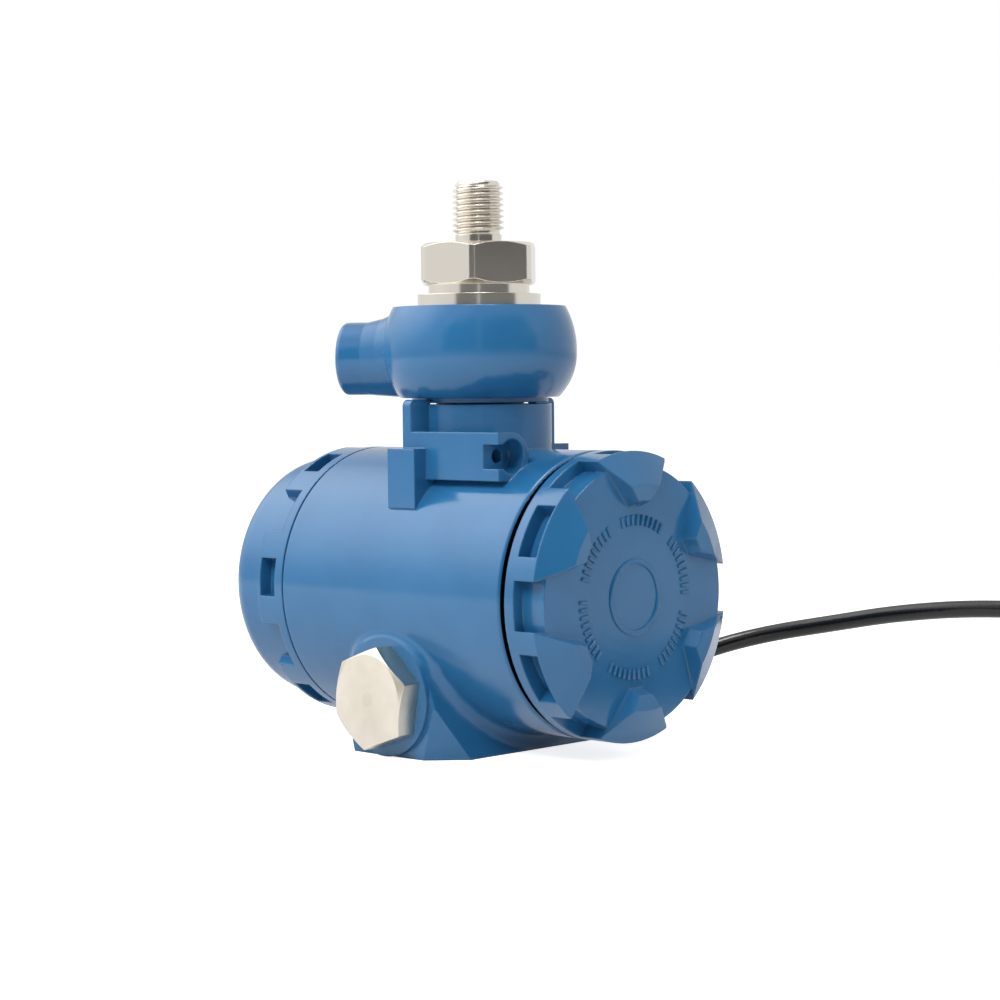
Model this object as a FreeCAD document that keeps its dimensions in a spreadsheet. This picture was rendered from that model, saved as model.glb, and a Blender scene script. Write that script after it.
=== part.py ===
"""Pressure transmitter with two screw covers, two conduit entries and a swivelling sensor head.

Frame, in millimetres: the origin is on the neck's axis, in the plane of the foot. +Z points up to the
process connection, the front cover faces -Y, the conduit plug is on -X and the cable gland on +X.
"""
import FreeCAD, Part
import Sketcher
import math
import os
import re

from FreeCAD import Placement, Rotation, Vector

doc = FreeCAD.newDocument("pressure_transmitter")

# ---------------------------------------------------------------- driving dimensions
SIZES = {
    # cast housing
    "housing_radius": 34.4, "housing_height": 38.6, "housing_front": 39.0, "housing_rear": 36.2,
    "cavity_radius": 28.0, "cover_bore_radius": 30.0, "cover_bore_depth": 13.0,
    "seal_seat_radius": 31.7, "seal_seat_depth": 1.9, "casting_edge": 0.8, "foot_fillet": 3.0,
    # neck and its stop fins
    "neck_radius": 17.7, "neck_top": 84.0, "neck_bore_radius": 11.0,
    "fin_thick": 2.8, "fin_reach": 24.0, "fin_base": 70.0, "fin_top": 85.3, "fin_round": 1.6,
    "fin_overlap": 0.4,
    # conduit bosses and foot
    "boss_radius": 14.3, "boss_face": 33.8, "conduit_radius": 9.0,
    "conduit_seat_radius": 10.6, "conduit_seat_depth": 1.4,
    "foot_length": 32.6, "foot_width": 20.0, "foot_corner": 8.0, "foot_knee": 12.4, "foot_shoulder": 18.9,
    "knee_width": 15.8, "shoulder_width": 13.5, "corner_land": 0.4,
    # shoulder block and cover-lock boss beside the neck
    "block_reach": 28.0, "block_front": 5.2, "block_back": 4.0, "block_base": 59.3, "block_top": 73.6,
    "lock_across": 19.5, "lock_height": 71.9, "lock_radius": 5.7, "lock_flat": 24.0, "lock_front": 29.4,
    "lock_recess": 5.0, "lock_recess_radius": 4.1, "lock_slot_half": 2.85, "lock_hole_radius": 1.65,
    "lock_hole_depth": 14.0,
    # bosses inside the cavity
    "lug_across": 25.0, "lug_radius": 5.0, "lug_half": 8.0, "lug_hole_radius": 1.25, "lug_hole_depth": 6.5,
    "tap_inset": 1.6,
    "earth_across": 16.6, "earth_rise": 17.0, "earth_lug_radius": 5.2,
    # covers
    "rim_radius": 34.4, "rim_thick": 2.8, "front_gap": 1.7, "spigot_radius": 29.8, "spigot_length": 9.4,
    "spigot_inner": 26.2, "relief_radius": 29.6, "relief_length": 2.0, "cover_wall": 4.0,
    "drum_radius": 31.3, "face_height": 9.5, "ear_edge": 8.8, "ear_ridge_radius": 26.5,
    "ear_ridge": 13.3, "ear_crest_radius": 22.8, "ear_crest": 12.9, "ear_root_radius": 21.5,
    "ears": 6, "gap_inner": 17.0, "gap_outer": 38.0, "gap_inner_half": 9.2, "gap_outer_half": 5.0,
    "gap_top": 14.0, "gap_draft": 1.4, "pocket_floor": 30.6, "pocket_top": 8.4, "pocket_angle": 22.0,
    "rear_face": 24.3, "rear_round": 6.0, "rear_lug_edge": 9.3, "rear_lug_root": 10.6,
    "rear_gap_angle": 20.0, "rear_window_floor": 30.8, "rear_window_top": 8.2, "rear_window_angle": 16.0,
    "rear_phase": 4.2,
    "seal_centre_radius": 30.65, "seal_wire": 0.6, "seal_offset": 0.85,
    # sensor housing
    "collar_bottom": 85.6, "collar_bottom_radius": 19.6, "collar_belly": 96.5, "collar_radius": 24.1,
    "collar_top": 108.0, "collar_top_radius": 21.4, "collar_lower_arc": 15.6, "collar_upper_arc": 23.0,
    "hub_radius": 16.9, "hub_clearance": 0.4, "stub_radius": 10.9, "stub_bottom": 69.0,
    "lead_bore_radius": 5.5, "sensor_bore_radius": 12.5, "sensor_bore_bottom": 90.0,
    "spout_height": 95.5, "spout_radius": 9.1, "spout_reach": 35.0, "spout_edge": 1.4, "spout_heading": 120.0,
    "spout_hole_radius": 2.5, "spout_hole_depth": 9.0,
    "neck_seal_wire": 0.9, "neck_seal_clearance": 0.05, "neck_seal_height": 79.0,
    "stub_groove_radius": 9.3, "stub_groove_half": 1.2,
    "flare_end": 28.5, "flare_middle": 24.5, "flare_middle_radius": 9.7, "flare_middle_height": 95.8,
    "flare_root": 19.0, "flare_root_radius": 11.1, "flare_root_height": 96.8,
    # process connection
    "flange_radius": 15.2, "flange_thick": 2.4, "step_radius": 12.5, "step_high": 2.4,
    "hex_high": 10.2, "hex_flats": 27.0, "hex_bar_radius": 15.1, "hex_face_radius": 13.3,
    "hex_chamfer": 1.0, "hex_heading": 8.8, "shank_radius": 5.7, "shank_length": 2.7, "thread_length": 13.1,
    "thread_bottom_radius": 6.3, "thread_tip_radius": 6.0, "thread_chamfer": 0.9,
    "port_radius": 2.9, "plug_radius": 12.4, "plug_depth": 10.0, "port_seal_radius": 13.9,
    "port_seal_wire": 0.8, "port_groove_depth": 1.3, "port_groove_half": 1.1,
    "capsule_radius": 12.0, "capsule_height": 6.0, "capsule_stem_radius": 5.0, "capsule_stem": 1.6,
    "lead_radius": 2.0, "lead_rise": 18.4, "lead_gap": 0.1,
    # conduit plug and cable gland
    "nut_flats": 22.0, "plug_head": 5.7, "plug_length": 12.0, "plug_thread_radius": 8.92,
    "plug_heading": 49.7, "nut_bar_radius": 12.6, "nut_face_radius": 10.6, "nut_chamfer": 0.9,
    "entry_seal_radius": 9.95, "entry_seal_wire": 0.45, "entry_seal_inset": 0.2, "thread_lead": 1.0,
    "gland_hex": 5.0, "gland_stub": 12.0, "gland_neck": 7.5, "gland_neck_radius": 7.4,
    "gland_bore_radius": 4.3, "gland_heading": 17.0, "gland_shelf": 2.0,
    "cap_clearance": 0.15, "cap_flats": 18.0, "cap_bar_radius": 10.3, "cap_dome": 3.0,
    "cap_lip": 2.4, "cap_dome_radius": 6.4, "cap_gap": 0.5,
    "cable_radius": 2.3, "cable_clearance": 0.3, "sleeve_clearance": 0.2, "sleeve_proud": 0.5,
    "slip_thick": 0.9, "slip_radius": 6.6, "slip_clearance": 0.1,
    # electronics
    "module_radius": 20.5, "module_thick": 18.0, "flange_thick": 3.0, "tab_radius": 4.1,
    "screw_hole_radius": 1.7, "board_radius": 17.0, "board_thick": 1.6, "trimmer_across": 7.0,
    "trimmer_rise": 9.0, "trimmer_half": 2.9, "trimmer_body": 3.4, "trimmer_bore_radius": 1.5,
    "trimmer_screw_radius": 1.4, "trimmer_screw_length": 3.0, "trimmer_proud": 0.4, "slot_wide": 0.5,
    "slot_depth": 0.7,
    "socket_wide": 9.0, "socket_rise": 9.0, "socket_base": 4.4,
    "socket_hole_half": 3.2, "lead_plug_half": 3.0, "lead_plug_height": 6.0,
    "block_wide": 36.0, "block_high": 17.0, "block_deep": 9.0,
    "terminal_pitch": 10.0, "terminal_count": 3, "barrier_thick": 1.4,
    "barrier_rise": 3.0, "clamp_wide": 7.0, "clamp_high": 8.0, "clamp_thick": 1.0,
    "screw_shank_radius": 1.2, "screw_head_radius": 2.6, "screw_head": 2.0, "screw_head_edge": 0.6,
    "screw_length": 6.0, "screw_clearance": 0.1,
    "screw_slot": 0.6, "washer_radius": 3.4, "washer_thick": 0.6,
    "set_screw_height": 73.5, "set_screw_radius": 1.95, "set_hole_radius": 2.0, "set_socket_radius": 1.0,
    "set_socket_depth": 1.8, "set_tip_gap": 0.3,
    # cable
    "core_radius": 0.8, "core_gap": 0.3, "tail_end": 20.0, "core_straight": 4.0, "core_apart": 2.0,
    "coil_radius": 26.2, "coil_wide": 18.8, "coil_high": 9.4,
    "coil_shelf": 30.9, "coil_across": 104.3, "coil_along": -137.0, "strip_length": 8.0,
    "ferrule_radius": 0.6, "ferrule_length": 7.0,
}

sheet = doc.addObject("Spreadsheet::Sheet", "Sizes")
for row, (alias, size) in enumerate(SIZES.items(), start=1):
    sheet.set(f"A{row}", alias)
    sheet.set(f"B{row}", str(size))
    sheet.setAlias(f"B{row}", alias)
doc.recompute()


def formula(text):
    """Turn a sum of size names into an expression on the sheet's cells."""
    return re.sub(r"[a-z]+(?:_[a-z]+)*", lambda m: f"Sizes.{m[0]}" if m[0] in SIZES else m[0], str(text))


def value(text):
    """The number that a formula gives now."""
    return float(sheet.evalExpression(formula(text)))


# heights that follow from the sizes
FLANGE_TOP = "(collar_top + flange_thick)"
HEX_BOTTOM = "(collar_top + flange_thick + step_high)"
HEX_TOP = "(collar_top + flange_thick + step_high + hex_high)"
THREAD_BOTTOM = "(collar_top + flange_thick + step_high + hex_high + shank_length)"
TIP = "(collar_top + flange_thick + step_high + hex_high + shank_length + thread_length)"
PLUG_BOTTOM = "(collar_top - plug_depth)"
CAPSULE_BOTTOM = "(collar_top - plug_depth - capsule_height)"
LEAD_BOTTOM = "(housing_height + lead_rise)"


# ---------------------------------------------------------------- sketches
def sketch(body, name, plane, offset="0", turn="0", rise="0"):
    """A sketch on an origin plane, moved along its normal, turned about it and raised in it."""
    made = body.newObject("Sketcher::SketchObject", name)
    origin_plane = next(item for item in body.Origin.OriginFeatures if item.Role == plane)
    made.AttachmentSupport = [(origin_plane, "")]
    made.MapMode = "FlatFace"
    made.AttachmentOffset = Placement(Vector(0, value(rise), value(offset)),
                                      Rotation(Vector(0, 0, 1), value(turn)))
    made.setExpression("AttachmentOffset.Base.y", formula(rise))
    made.setExpression("AttachmentOffset.Base.z", formula(offset))
    return made


def dimension(made, kind, *target):
    """Add a constraint whose last item is a formula, and bind it to the sheet."""
    *where, text = target
    index = made.addConstraint(Sketcher.Constraint(kind, *where, value(text)))
    made.setExpression(f"Constraints[{index}]", formula(text))


def pin_point(made, geometry, end, across, up):
    dimension(made, "DistanceX", -1, 1, geometry, end, across)
    dimension(made, "DistanceY", -1, 1, geometry, end, up)


def arc_between(start, finish, radius):
    """The shorter arc; a positive radius runs anticlockwise from start to finish."""
    chord = finish - start
    rise = math.sqrt(max(radius**2 - (chord.Length / 2)**2, 0.0))
    left = Vector(-chord.y, chord.x, 0).normalize()
    centre = (start + finish) / 2 + left * math.copysign(rise, radius)
    first, last = (start, finish) if radius > 0 else (finish, start)
    angles = [math.atan2(point.y - centre.y, point.x - centre.x) for point in (first, last)]
    return Part.ArcOfCircle(Part.Circle(centre, Vector(0, 0, 1), abs(radius)), *angles)


def outline(made, corners):
    """A closed outline. A corner is (across, up), or (across, up, radius) where an arc starts."""
    points = [Vector(value(corner[0]), value(corner[1]), 0) for corner in corners]
    edges = []
    for index, corner in enumerate(corners):
        start, finish = points[index], points[(index + 1) % len(points)]
        if len(corner) == 2:
            edges.append((made.addGeometry(Part.LineSegment(start, finish)), 1, 2, None))
        else:
            radius = value(corner[2])
            ends = (1, 2) if radius > 0 else (2, 1)
            edges.append((made.addGeometry(arc_between(start, finish, radius)), *ends, corner[2]))
    for index, (edge, start_end, finish_end, radius) in enumerate(edges):
        following = edges[(index + 1) % len(edges)]
        made.addConstraint(Sketcher.Constraint("Coincident", edge, finish_end, following[0], following[1]))
        pin_point(made, edge, start_end, *corners[index][:2])
        if radius is not None:
            dimension(made, "Radius", edge, f"abs({radius})")


def ring(made, across, up, radius):
    """A full circle."""
    edge = made.addGeometry(Part.Circle(Vector(value(across), value(up), 0), Vector(0, 0, 1), value(radius)))
    pin_point(made, edge, 3, across, up)
    dimension(made, "Radius", edge, radius)


def box_outline(made, left, right, low, high):
    outline(made, [(left, low), (right, low), (right, high), (left, high)])


def hexagon(made, flats, heading):
    """A hexagon about the sketch's origin; heading is where one flat faces."""
    corners = []
    for turn in range(30, 390, 60):
        angle = f"({heading} + {turn})"
        reach = f"{flats} / 2 / cos(30)"
        corners.append((f"{reach} * cos({angle})", f"{reach} * sin({angle})"))
    outline(made, corners)


# ---------------------------------------------------------------- features
PIECES = []


def new_body(name, keep=True):
    body = doc.addObject("PartDesign::Body", name)
    body.Label = name
    if keep:
        PIECES.append(body)
    return body


def feature(body, kind, name, profile, **settings):
    """Add a feature; settings that are strings are formulas, but for the listed choices."""
    made = body.newObject(f"PartDesign::{kind}", name)
    made.Profile = profile
    for setting, given in settings.items():
        if isinstance(given, str) and setting not in ("Type", "SideType"):
            made.setExpression(setting, formula(given))
        else:
            setattr(made, setting, given)
    return made


def revolve(body, name, corners, plane="XZ_Plane", cut=False, **settings):
    """Turn an outline, drawn as (radius, height), about the body's own Z axis."""
    profile = sketch(body, f"{name}_profile", plane)
    outline(profile, corners)
    settings.setdefault("Angle", 360.0)
    made = feature(body, "Groove" if cut else "Revolution", name, profile, **settings)
    made.ReferenceAxis = (profile, ["V_Axis"])
    return made


def repeat(body, name, originals, copies):
    """Copies of features about the body's Z axis."""
    axis = next(item for item in body.Origin.OriginFeatures if item.Role == "Z_Axis")
    made = body.newObject("PartDesign::PolarPattern", name)
    made.Originals = originals
    made.Axis = (axis, [""])
    made.Angle = 360.0
    made.setExpression("Occurrences", formula(copies))
    body.Tip = made
    return made


def round_edges(body, name, radius, wanted):
    """Fillet each edge of the body for which wanted(edge) is true."""
    doc.recompute()
    tip = body.Tip
    names = [f"Edge{n}" for n, edge in enumerate(tip.Shape.Edges, start=1) if wanted(edge)]
    if not names:
        raise ValueError(f"{name}: no edge to round")
    made = body.newObject("PartDesign::Fillet", name)
    made.Base = (tip, names)
    made.setExpression("Radius", formula(radius))
    return made


def place(body, across="0", along="0", up="0", rotation=Rotation()):
    """Put a body, which is modelled about its own axis, where it belongs."""
    body.Placement = Placement(Vector(value(across), value(along), value(up)), rotation)
    for letter, text in zip("xyz", (across, along, up)):
        body.setExpression(f"Placement.Base.{letter}", formula(text))


def turned(name, corners, keep=True, **where):
    """A plain turned piece about its own Z axis."""
    body = new_body(name, keep)
    revolve(body, f"{name}_turned", corners)
    place(body, **where)
    return body


def group(name, shapes):
    """Several separate solids, such as a set of like screws, in one node."""
    made = doc.addObject("Part::Feature", name)
    made.Label = name
    made.Shape = Part.makeCompound(shapes)
    PIECES.append(made)
    return made


def moved(shape, across, along, up):
    copy = shape.copy()
    copy.translate(Vector(value(across), value(along), value(up)))
    return copy


def points_on(edge):
    """Seven points along an edge."""
    return [edge.valueAt(edge.FirstParameter + (edge.LastParameter - edge.FirstParameter) * step / 6)
            for step in range(7)]


def on_drum(edge):
    """True for an edge that lies in the drum's round wall, away from its two ends."""
    radius, height = value("housing_radius"), value("housing_height")
    return all(abs(math.hypot(point.x, point.z - height) - radius) < 1e-3
               and -value("housing_front") < point.y < value("housing_rear") for point in points_on(edge))


def is_spout_rim(edge):
    """True for the circle round the spout's end face."""
    return (isinstance(edge.Curve, Part.Circle) and abs(edge.Curve.Radius - value("spout_radius")) < 1e-4
            and abs(edge.Curve.Center.x - value("spout_reach")) < 1e-4)


FACING_FRONT = Rotation(Vector(0, 0, 1), Vector(-1, 0, 0), Vector(0, -1, 0), "ZXY")
FACING_REAR = Rotation(Vector(0, 0, 1), Vector(1, 0, 0), Vector(0, 1, 0), "ZXY")
FACING_LEFT = Rotation(Vector(0, -1, 0), Vector(0, 0, 1), Vector(-1, 0, 0), "ZXY")
FACING_RIGHT = Rotation(Vector(0, 1, 0), Vector(0, 0, 1), Vector(1, 0, 0), "ZXY")


# ---------------------------------------------------------------- housing
def build_housing():
    """Die-cast body: a drum on a flared foot, two conduit bosses, a neck, lock bosses and stop fins."""
    body = new_body("housing")
    drum = sketch(body, "drum_section", "YZ_Plane", rise="housing_height")
    outline(drum, [("-housing_front", "0"), ("housing_rear", "0"),
                   ("housing_rear", "housing_radius - casting_edge", "casting_edge"),
                   ("housing_rear - casting_edge", "housing_radius"),
                   ("casting_edge - housing_front", "housing_radius", "casting_edge"),
                   ("-housing_front", "housing_radius - casting_edge")])
    turned_drum = feature(body, "Revolution", "drum", drum, Angle=360.0)
    turned_drum.ReferenceAxis = (drum, ["H_Axis"])

    sections = []
    for name, height, width, corner in (
            ("foot_sole", "0", "foot_width", "foot_corner"),
            ("foot_knee_section", "foot_knee", "knee_width", "corner_land"),
            ("foot_shoulder_section", "foot_shoulder", "shoulder_width", "corner_land")):
        plan = sketch(body, name, "XY_Plane", height)
        corners = []
        for across, along in ((1, 1), (-1, 1), (-1, -1), (1, -1)):
            long_side = (f"{across} * (foot_length - {corner})", f"{along} * {width}")
            short_side = (f"{across} * foot_length", f"{along} * ({width} - {corner})")
            corners += [short_side, long_side] if across * along > 0 else [long_side, short_side]
        outline(plan, corners)
        sections.append(plan)
    foot = body.newObject("PartDesign::AdditiveLoft", "foot")
    foot.Profile = sections[0]
    foot.Sections = sections[1:]
    foot.Ruled = True

    bosses = sketch(body, "boss_section", "YZ_Plane", "-boss_face")
    ring(bosses, "0", "boss_radius", "boss_radius")
    feature(body, "Pad", "conduit_bosses", bosses, Length="2 * boss_face")
    round_edges(body, "foot_fillets", "foot_fillet", on_drum)

    neck = sketch(body, "neck_section", "XY_Plane", "housing_height")
    ring(neck, "0", "0", "neck_radius")
    feature(body, "Pad", "neck", neck, Length="neck_top - housing_height")

    block = sketch(body, "block_section", "XY_Plane", "block_base")
    box_outline(block, "-block_reach", "-neck_bore_radius - 1", "-block_front", "block_back")
    shoulder = feature(body, "Pad", "shoulder_block", block, Length="block_top - block_base")
    lock = sketch(body, "lock_section", "XZ_Plane", "0")
    outline(lock, [("-lock_flat", "lock_height - lock_radius"),
                   ("-lock_across", "lock_height - lock_radius", "lock_radius"),
                   ("lock_radius - lock_across", "lock_height", "lock_radius"),
                   ("-lock_across", "lock_height + lock_radius"),
                   ("-lock_flat", "lock_height + lock_radius")])
    lock_boss = feature(body, "Pad", "lock_boss", lock, Length="lock_front")
    fin = sketch(body, "fin_section", "XZ_Plane", "-fin_thick")
    outline(fin, [("-fin_reach", "fin_base"), ("fin_overlap - neck_radius", "fin_base"),
                  ("fin_overlap - neck_radius", "fin_top"),
                  ("fin_round - fin_reach", "fin_top", "fin_round"), ("-fin_reach", "fin_top - fin_round")])
    stop_fin = feature(body, "Pad", "stop_fin", fin, Length="fin_thick")
    repeat(body, "shoulder_pair", [shoulder, lock_boss, stop_fin], "2")

    recess = sketch(body, "lock_recess_section", "XZ_Plane", "lock_front - lock_recess")
    ring(recess, "-lock_across", "lock_height", "lock_recess_radius")
    lock_recess = feature(body, "Pocket", "lock_recess", recess, Length="lock_recess", Reversed=True)
    slot = sketch(body, "lock_slot_section", "XZ_Plane", "lock_front - lock_recess")
    box_outline(slot, "-lock_flat - 1", "-lock_across", "lock_height - lock_slot_half",
                "lock_height + lock_slot_half")
    lock_slot = feature(body, "Pocket", "lock_slot", slot, Length="lock_recess", Reversed=True)
    hole = sketch(body, "lock_hole_section", "XZ_Plane", "lock_front - lock_recess")
    ring(hole, "-lock_across", "lock_height", "lock_hole_radius")
    lock_hole = feature(body, "Pocket", "lock_hole", hole, Length="lock_hole_depth")
    repeat(body, "lock_hole_pair", [lock_recess, lock_slot, lock_hole], "2")

    cavity = sketch(body, "cavity_section", "XZ_Plane", "-housing_rear")
    ring(cavity, "0", "housing_height", "cavity_radius")
    feature(body, "Pocket", "cavity", cavity, Length="housing_rear + housing_front", Reversed=True)
    for side, start, direction in (("front", "housing_front", False), ("rear", "-housing_rear", True)):
        bore = sketch(body, f"{side}_bore_section", "XZ_Plane", start)
        ring(bore, "0", "housing_height", "cover_bore_radius")
        feature(body, "Pocket", f"{side}_bore", bore, Length="cover_bore_depth", Reversed=direction)
        seat = sketch(body, f"{side}_seat_section", "XZ_Plane", start)
        ring(seat, "0", "housing_height", "seal_seat_radius")
        feature(body, "Pocket", f"{side}_seat", seat, Length="seal_seat_depth", Reversed=direction)
    neck_bore = sketch(body, "neck_bore_section", "XY_Plane", "housing_height")
    ring(neck_bore, "0", "0", "neck_bore_radius")
    feature(body, "Pocket", "neck_bore", neck_bore, Length="neck_top - housing_height", Reversed=True)
    conduit = sketch(body, "conduit_section", "YZ_Plane", "-boss_face")
    ring(conduit, "0", "boss_radius", "conduit_radius")
    feature(body, "Pocket", "conduit_bore", conduit, Length="2 * boss_face", Reversed=True)
    for side, start, direction in (("left", "-boss_face", True), ("right", "boss_face", False)):
        seat = sketch(body, f"{side}_entry_seat_section", "YZ_Plane", start)
        ring(seat, "0", "boss_radius", "conduit_seat_radius")
        feature(body, "Pocket", f"{side}_entry_seat", seat, Length="conduit_seat_depth", Reversed=direction)

    lugs = sketch(body, "lug_section", "XZ_Plane", "-lug_half")
    ring(lugs, "lug_across", "housing_height", "lug_radius")
    ring(lugs, "-lug_across", "housing_height", "lug_radius")
    feature(body, "Pad", "board_lugs", lugs, Length="2 * lug_half")
    earth = sketch(body, "earth_section", "XZ_Plane", "-lug_half")
    ring(earth, "earth_across", "housing_height + earth_rise", "earth_lug_radius")
    feature(body, "Pad", "earth_lug", earth, Length="lug_half")
    for side, start, direction in (("front", "lug_half", False), ("rear", "-lug_half", True)):
        taps = sketch(body, f"{side}_tap_section", "XZ_Plane", start)
        ring(taps, "lug_across - tap_inset", "housing_height", "lug_hole_radius")
        ring(taps, "tap_inset - lug_across", "housing_height", "lug_hole_radius")
        if side == "rear":
            ring(taps, "earth_across", "housing_height + earth_rise", "lug_hole_radius")
        feature(body, "Pocket", f"{side}_taps", taps, Length="lug_hole_depth", Reversed=direction)
    set_hole = sketch(body, "set_hole_section", "XZ_Plane", "-neck_radius - 1")
    ring(set_hole, "0", "set_screw_height", "set_hole_radius")
    feature(body, "Pocket", "set_hole", set_hole, Length="neck_radius", Reversed=True)
    return body


# ---------------------------------------------------------------- covers
def cover_spigot():
    """The threaded skirt that both covers share, as the first corners of their outline."""
    return [("spigot_inner", "-spigot_length"), ("spigot_radius", "-spigot_length"),
            ("spigot_radius", "-relief_length"), ("relief_radius", "-relief_length"),
            ("relief_radius", "0"), ("rim_radius", "0")]


def build_front_cover():
    """Cast cover with six wrench ears standing above its face, each hollowed from the side."""
    body = new_body("front_cover")
    revolve(body, "cover", cover_spigot() + [
        ("rim_radius", "ear_edge"), ("ear_ridge_radius", "ear_ridge"), ("ear_crest_radius", "ear_crest"),
        ("ear_root_radius", "face_height"), ("0", "face_height"), ("0", "face_height - cover_wall"),
        ("spigot_inner", "face_height - cover_wall")])
    low = sketch(body, "gap_section", "XY_Plane", "rim_thick", "180 / ears")
    side = "(gap_inner_half + (gap_outer_half - gap_inner_half) * (drum_radius - gap_inner)" \
           " / (gap_outer - gap_inner))"
    outline(low, [(f"sqrt(drum_radius * drum_radius - {side} * {side})", f"-{side}"),
                  ("gap_outer", "-gap_outer_half"), ("gap_outer", "gap_outer_half"),
                  (f"sqrt(drum_radius * drum_radius - {side} * {side})", side, "-drum_radius")])
    gap = feature(body, "Pocket", "ear_gap", low, Length="face_height - rim_thick", Reversed=True)
    slopes = []
    for name, height, draft in (("gap_floor_section", "face_height", "0"),
                                ("gap_top_section", "gap_top", "gap_draft")):
        plan = sketch(body, name, "XY_Plane", height, "180 / ears")
        outline(plan, [
            ("gap_inner", f"-gap_inner_half - {draft}"), ("gap_outer", f"-gap_outer_half - {draft}"),
            ("gap_outer", f"gap_outer_half + {draft}"), ("gap_inner", f"gap_inner_half + {draft}")])
        slopes.append(plan)
    top = body.newObject("PartDesign::SubtractiveLoft", "ear_gap_top")
    top.Profile = slopes[0]
    top.Sections = slopes[1:]
    top.Ruled = True
    window = revolve(body, "ear_pocket", [
        ("pocket_floor", "rim_thick"), ("gap_outer", "rim_thick"),
        ("gap_outer", "pocket_top"), ("pocket_floor", "pocket_top")], cut=True, Angle="pocket_angle",
        Midplane=True)
    repeat(body, "ears_all_round", [gap, top, window], "ears")
    place(body, along="-housing_front - front_gap", up="housing_height", rotation=FACING_FRONT)
    return body


def build_rear_cover():
    """Deeper cast cover: a smooth drum with six windowed wrench lugs behind its rim."""
    body = new_body("rear_cover")
    revolve(body, "cover", cover_spigot() + [
        ("rim_radius", "rear_lug_edge"), ("drum_radius", "rear_lug_root"),
        ("drum_radius", "rear_face - rear_round", "rear_round"), ("drum_radius - rear_round", "rear_face"),
        ("0", "rear_face"), ("0", "rear_face - cover_wall"),
        ("spigot_inner", "rear_face - cover_wall")])
    gap = revolve(body, "lug_gap", [
        ("drum_radius", "rim_thick"), ("gap_outer", "rim_thick"), ("gap_outer", "rear_lug_root"),
        ("drum_radius", "rear_lug_root")], "YZ_Plane", cut=True, Angle="rear_gap_angle", Midplane=True)
    window = revolve(body, "lug_window", [
        ("rear_window_floor", "rim_thick"), ("gap_outer", "rim_thick"), ("gap_outer", "rear_window_top"),
        ("rear_window_floor", "rear_window_top")], cut=True, Angle="rear_window_angle", Midplane=True)
    repeat(body, "lugs_all_round", [gap, window], "ears")
    turn = Rotation(Vector(0, 1, 0), 30 + value("rear_phase"))
    place(body, along="housing_rear", up="housing_height", rotation=turn * FACING_REAR)
    return body


def build_cover_seals():
    """O-rings under the two rims."""
    for name, along, rotation in (("front_cover_seal", "-housing_front - front_gap", FACING_FRONT),
                                  ("rear_cover_seal", "housing_rear", FACING_REAR)):
        body = new_body(name)
        profile = sketch(body, f"{name}_section", "XZ_Plane")
        ring(profile, "seal_centre_radius", "-seal_offset", "seal_wire")
        made = feature(body, "Revolution", f"{name}_ring", profile, Angle=360.0)
        made.ReferenceAxis = (profile, ["V_Axis"])
        place(body, along=along, up="housing_height", rotation=rotation)


def o_ring(name, centre_radius, height, wire, **where):
    body = new_body(name)
    profile = sketch(body, f"{name}_section", "XZ_Plane")
    ring(profile, centre_radius, height, wire)
    made = feature(body, "Revolution", f"{name}_ring", profile, Angle=360.0)
    made.ReferenceAxis = (profile, ["V_Axis"])
    place(body, **where)
    return body


# ---------------------------------------------------------------- sensor head
def build_sensor_housing():
    """Barrel-shaped head with a bracket spout on its side and a stub that turns in the neck."""
    body = new_body("sensor_housing")
    revolve(body, "barrel", [
        ("lead_bore_radius", "stub_bottom"), ("stub_radius", "stub_bottom"),
        ("stub_radius", "neck_seal_height - stub_groove_half"),
        ("stub_groove_radius", "neck_seal_height - stub_groove_half"),
        ("stub_groove_radius", "neck_seal_height + stub_groove_half"),
        ("stub_radius", "neck_seal_height + stub_groove_half"),
        ("stub_radius", "neck_top + hub_clearance"), ("hub_radius", "neck_top + hub_clearance"),
        ("hub_radius", "collar_bottom"), ("collar_bottom_radius", "collar_bottom", "collar_lower_arc"),
        ("collar_radius", "collar_belly", "collar_upper_arc"), ("collar_top_radius", "collar_top"),
        ("port_seal_radius + port_groove_half", "collar_top"),
        ("port_seal_radius + port_groove_half", "collar_top - port_groove_depth"),
        ("port_seal_radius - port_groove_half", "collar_top - port_groove_depth"),
        ("port_seal_radius - port_groove_half", "collar_top"),
        ("sensor_bore_radius", "collar_top"), ("sensor_bore_radius", "sensor_bore_bottom"),
        ("lead_bore_radius", "sensor_bore_bottom")])
    spout = sketch(body, "spout_section", "YZ_Plane", "sensor_bore_radius + 2")
    ring(spout, "0", "spout_height", "spout_radius")
    feature(body, "Pad", "spout", spout, Length="spout_reach - sensor_bore_radius - 2")
    round_edges(body, "spout_end_round", "spout_edge", is_spout_rim)
    flare = []
    for name, reach, radius, height in (
            ("flare_end", "flare_end", "spout_radius", "spout_height"),
            ("flare_middle", "flare_middle", "flare_middle_radius", "flare_middle_height"),
            ("flare_root", "flare_root", "flare_root_radius", "flare_root_height"),
            ("flare_base", "sensor_bore_radius + 2", "flare_root_radius", "flare_root_height")):
        round_section = sketch(body, f"{name}_section", "YZ_Plane", reach)
        ring(round_section, "0", height, radius)
        flare.append(round_section)
    blend = body.newObject("PartDesign::AdditiveLoft", "spout_flare")
    blend.Profile = flare[0]
    blend.Sections = flare[1:]
    blend.Ruled = True
    hole = sketch(body, "spout_hole_section", "YZ_Plane", "spout_reach")
    ring(hole, "0", "spout_height", "spout_hole_radius")
    feature(body, "Pocket", "spout_hole", hole, Length="spout_hole_depth")
    place(body, rotation=Rotation(Vector(0, 0, 1), value("spout_heading")))
    return body


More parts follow.
